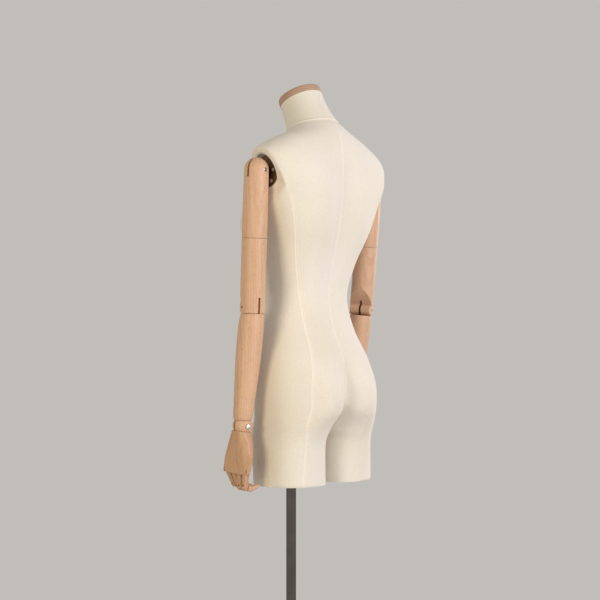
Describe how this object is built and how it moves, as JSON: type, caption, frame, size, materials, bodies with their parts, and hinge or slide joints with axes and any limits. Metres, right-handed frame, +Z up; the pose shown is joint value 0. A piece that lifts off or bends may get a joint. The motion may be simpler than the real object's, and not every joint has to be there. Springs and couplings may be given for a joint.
{
  "type": "dress form mannequin",
  "caption": "Headless fabric covered female torso on a steel pole stand, with a tilted wooden neck cap and jointed wooden arms, hands and fingers.",
  "frame": {"origin": "on the floor, on the axis of the stand's pole, under the figure's left thigh", "axes": "+Z up, the figure faces -Y and its left side is +X; the torso's mid-plane is at X = -0.0775 m"},
  "size_m": [0.4878, 0.3582, 1.5799],
  "materials": {
    "fabric": "cream cotton jersey, sewn in panels",
    "fibreglass": "moulded fibreglass, unpainted",
    "beech": "turned beech, clear matt lacquer",
    "walnut": "dark brown stained wood, satin",
    "plywood": "plywood, raw",
    "steel": "polished steel",
    "alloy": "grey cast plate",
    "black_steel": "black painted steel, satin",
    "black_plastic": "black moulded plastic"
  },
  "bodies": {
    "base": {"base_plate": "black_steel", "base_hub": "black_steel", "lower_tube": "steel", "clamp_collar": "black_steel"},
    "knob": {"clamp_knob": "black_plastic"},
    "pole": {"upper_pole": "steel"},
    "form": {"torso_shell": "fibreglass", "fabric_cover": "fabric", "neck_cap": "beech", "leg_board_left": "plywood", "leg_board_right": "plywood", "pole_socket": "steel", "shoulder_plate_left": "alloy", "shoulder_plate_right": "alloy"},
    "shoulder_left": {"shoulder_disc_left": "walnut", "shoulder_bracket_left": "steel", "shoulder_pin_left": "steel", "shoulder_screw_upper_left": "steel", "shoulder_screw_lower_left": "steel"},
    "upper_arm_left": {"upper_arm_left": "beech"},
    "lower_sleeve_left": {"lower_sleeve_left": "beech", "elbow_pin_left": "steel"},
    "forearm_left": {"forearm_left": "beech", "elbow_tongue_left": "steel"},
    "wrist_left": {"wrist_ball_left": "beech", "wrist_screw_left": "steel"},
    "hand_left": {"hand_left": "beech", "knuckle_rod_left": "steel"},
    "finger_left_1_base": {"finger_left_1_base": "beech"},
    "finger_left_1_tip": {"finger_left_1_tip": "beech"},
    "finger_left_2_base": {"finger_left_2_base": "beech"},
    "finger_left_2_tip": {"finger_left_2_tip": "beech"},
    "finger_left_3_base": {"finger_left_3_base": "beech"},
    "finger_left_3_tip": {"finger_left_3_tip": "beech"},
    "finger_left_4_base": {"finger_left_4_base": "beech"},
    "finger_left_4_tip": {"finger_left_4_tip": "beech"},
    "thumb_left": {"thumb_left_piece": "beech"},
    "shoulder_right": {"shoulder_disc_right": "walnut", "shoulder_bracket_right": "steel", "shoulder_pin_right": "steel", "shoulder_screw_upper_right": "steel", "shoulder_screw_lower_right": "steel"},
    "upper_arm_right": {"upper_arm_right": "beech"},
    "lower_sleeve_right": {"lower_sleeve_right": "beech", "elbow_pin_right": "steel"},
    "forearm_right": {"forearm_right": "beech", "elbow_tongue_right": "steel"},
    "wrist_right": {"wrist_ball_right": "beech", "wrist_screw_right": "steel"},
    "hand_right": {"hand_right": "beech", "knuckle_rod_right": "steel"},
    "finger_right_1_base": {"finger_right_1_base": "beech"},
    "finger_right_1_tip": {"finger_right_1_tip": "beech"},
    "finger_right_2_base": {"finger_right_2_base": "beech"},
    "finger_right_2_tip": {"finger_right_2_tip": "beech"},
    "finger_right_3_base": {"finger_right_3_base": "beech"},
    "finger_right_3_tip": {"finger_right_3_tip": "beech"},
    "finger_right_4_base": {"finger_right_4_base": "beech"},
    "finger_right_4_tip": {"finger_right_4_tip": "beech"},
    "thumb_right": {"thumb_right_piece": "beech"}
  },
  "joints": [
    {"name": "pole_height", "type": "slide", "parent": "base", "child": "pole", "axis": [0, 0, 1], "range_m": [-0.12, 0.15]},
    {"name": "form_turn", "type": "hinge", "parent": "pole", "child": "form", "pos_m": [0, 0, 0.74], "axis": [0, 0, 1], "range_deg": [-180, 180]},
    {"name": "clamp_knob_turn", "type": "hinge", "parent": "base", "child": "knob", "pos_m": [0, 0, 0.381], "axis": [1, 0, 0], "range_deg": [-180, 180]},
    {"name": "shoulder_swing_left", "type": "hinge", "parent": "form", "child": "shoulder_left", "pos_m": [0.1239, 0.0083, 1.37], "axis": [-1, 0, 0], "range_deg": [-30, 100]},
    {"name": "shoulder_raise_left", "type": "hinge", "parent": "shoulder_left", "child": "upper_arm_left", "pos_m": [0.1239, 0.0083, 1.37], "axis": [0, -0.9985, 0.0541], "range_deg": [0, 75]},
    {"name": "upper_arm_twist_left", "type": "hinge", "parent": "upper_arm_left", "child": "lower_sleeve_left", "pos_m": [0.12161, 0.00042, 1.22453], "axis": [0.0157, 0.0541, 0.9984], "range_deg": [-35, 80]},
    {"name": "elbow_bend_left", "type": "hinge", "parent": "lower_sleeve_left", "child": "forearm_left", "pos_m": [0.11929, -0.00755, 1.07726], "axis": [-0.9658, 0.2593, 0.0012], "range_deg": [0, 85]},
    {"name": "wrist_twist_left", "type": "hinge", "parent": "forearm_left", "child": "wrist_left", "pos_m": [0.13109, -0.02552, 0.82375], "axis": [0.0157, 0.0541, 0.9984], "range_deg": [-70, 70]},
    {"name": "wrist_bend_left", "type": "hinge", "parent": "wrist_left", "child": "hand_left", "pos_m": [0.13109, -0.02552, 0.82375], "axis": [0.2419, 0.9687, -0.0563], "range_deg": [-40, 3]},
    {"name": "knuckle_left_1", "type": "hinge", "parent": "hand_left", "child": "finger_left_1_base", "pos_m": [0.14084, -0.05814, 0.7321], "axis": [-0.0337, 0.9958, -0.0847], "range_deg": [-40, 8]},
    {"name": "finger_middle_left_1", "type": "hinge", "parent": "finger_left_1_base", "child": "finger_left_1_tip", "pos_m": [0.11531, -0.06213, 0.69526], "axis": [-0.0337, 0.9958, -0.0847], "range_deg": [-45, 10]},
    {"name": "knuckle_left_2", "type": "hinge", "parent": "hand_left", "child": "finger_left_2_base", "pos_m": [0.14028, -0.04151, 0.73069], "axis": [-0.0337, 0.9958, -0.0847], "range_deg": [-34, 8]},
    {"name": "finger_middle_left_2", "type": "hinge", "parent": "finger_left_2_base", "child": "finger_left_2_tip", "pos_m": [0.11899, -0.04553, 0.69182], "axis": [-0.0337, 0.9958, -0.0847], "range_deg": [-45, 10]},
    {"name": "knuckle_left_3", "type": "hinge", "parent": "hand_left", "child": "finger_left_3_base", "pos_m": [0.13971, -0.02488, 0.72928], "axis": [-0.0337, 0.9958, -0.0847], "range_deg": [-15, 8]},
    {"name": "finger_middle_left_3", "type": "hinge", "parent": "finger_left_3_base", "child": "finger_left_3_tip", "pos_m": [0.1333, -0.02831, 0.69147], "axis": [-0.0337, 0.9958, -0.0847], "range_deg": [-45, 10]},
    {"name": "knuckle_left_4", "type": "hinge", "parent": "hand_left", "child": "finger_left_4_base", "pos_m": [0.13915, -0.00824, 0.72786], "axis": [-0.0337, 0.9958, -0.0847], "range_deg": [-5, 8]},
    {"name": "finger_middle_left_4", "type": "hinge", "parent": "finger_left_4_base", "child": "finger_left_4_tip", "pos_m": [0.13941, -0.01128, 0.69199], "axis": [-0.0337, 0.9958, -0.0847], "range_deg": [-45, 10]},
    {"name": "thumb_left_open", "type": "hinge", "parent": "hand_left", "child": "thumb_left", "pos_m": [0.12383, -0.05084, 0.7828], "axis": [-0.0337, 0.9958, -0.0847], "range_deg": [0, 30]},
    {"name": "shoulder_swing_right", "type": "hinge", "parent": "form", "child": "shoulder_right", "pos_m": [-0.2789, 0.0083, 1.37], "axis": [-1, 0, 0], "range_deg": [-30, 100]},
    {"name": "shoulder_raise_right", "type": "hinge", "parent": "shoulder_right", "child": "upper_arm_right", "pos_m": [-0.2789, 0.0083, 1.37], "axis": [0, 0.9945, -0.1045], "range_deg": [0, 75]},
    {"name": "upper_arm_twist_right", "type": "hinge", "parent": "upper_arm_right", "child": "lower_sleeve_right", "pos_m": [-0.28043, -0.00693, 1.22511], "axis": [0.0105, 0.1045, 0.9945], "range_deg": [-80, 40]},
    {"name": "elbow_bend_right", "type": "hinge", "parent": "lower_sleeve_right", "child": "forearm_right", "pos_m": [-0.28197, -0.02235, 1.07842], "axis": [0.342, -0.9349, 0.0947], "range_deg": [0, 3]},
    {"name": "wrist_twist_right", "type": "hinge", "parent": "forearm_right", "child": "wrist_right", "pos_m": [-0.27904, -0.06416, 0.82747], "axis": [0.0105, 0.1045, 0.9945], "range_deg": [-70, 70]},
    {"name": "wrist_bend_right", "type": "hinge", "parent": "wrist_right", "child": "hand_right", "pos_m": [-0.27904, -0.06416, 0.82747], "axis": [0.2419, -0.9652, 0.0989], "range_deg": [-40, 3]},
    {"name": "knuckle_right_1", "type": "hinge", "parent": "hand_right", "child": "finger_right_1_base", "pos_m": [-0.29123, -0.10135, 0.73788], "axis": [-0.0329, -0.9902, 0.1358], "range_deg": [-40, 8]},
    {"name": "finger_middle_right_1", "type": "hinge", "parent": "finger_right_1_base", "child": "finger_right_1_tip", "pos_m": [-0.26667, -0.10727, 0.70064], "axis": [-0.0329, -0.9902, 0.1358], "range_deg": [-45, 10]},
    {"name": "knuckle_right_2", "type": "hinge", "parent": "hand_right", "child": "finger_right_2_base", "pos_m": [-0.29068, -0.08481, 0.73561], "axis": [-0.0329, -0.9902, 0.1358], "range_deg": [-34, 8]},
    {"name": "finger_middle_right_2", "type": "hinge", "parent": "finger_right_2_base", "child": "finger_right_2_tip", "pos_m": [-0.27042, -0.09085, 0.69645], "axis": [-0.0329, -0.9902, 0.1358], "range_deg": [-45, 10]},
    {"name": "knuckle_right_3", "type": "hinge", "parent": "hand_right", "child": "finger_right_3_base", "pos_m": [-0.29013, -0.06827, 0.73335], "axis": [-0.0329, -0.9902, 0.1358], "range_deg": [-15, 8]},
    {"name": "finger_middle_right_3", "type": "hinge", "parent": "finger_right_3_base", "child": "finger_right_3_tip", "pos_m": [-0.28471, -0.07363, 0.69561], "axis": [-0.0329, -0.9902, 0.1358], "range_deg": [-45, 10]},
    {"name": "knuckle_right_4", "type": "hinge", "parent": "hand_right", "child": "finger_right_4_base", "pos_m": [-0.28958, -0.05174, 0.73108], "axis": [-0.0329, -0.9902, 0.1358], "range_deg": [-5, 8]},
    {"name": "finger_middle_right_4", "type": "hinge", "parent": "finger_right_4_base", "child": "finger_right_4_tip", "pos_m": [-0.29078, -0.05659, 0.69543], "axis": [-0.0329, -0.9902, 0.1358], "range_deg": [-45, 10]},
    {"name": "thumb_right_open", "type": "hinge", "parent": "hand_right", "child": "thumb_right", "pos_m": [-0.27289, -0.09154, 0.78769], "axis": [-0.0329, -0.9902, 0.1358], "range_deg": [0, 30]}
  ]
}
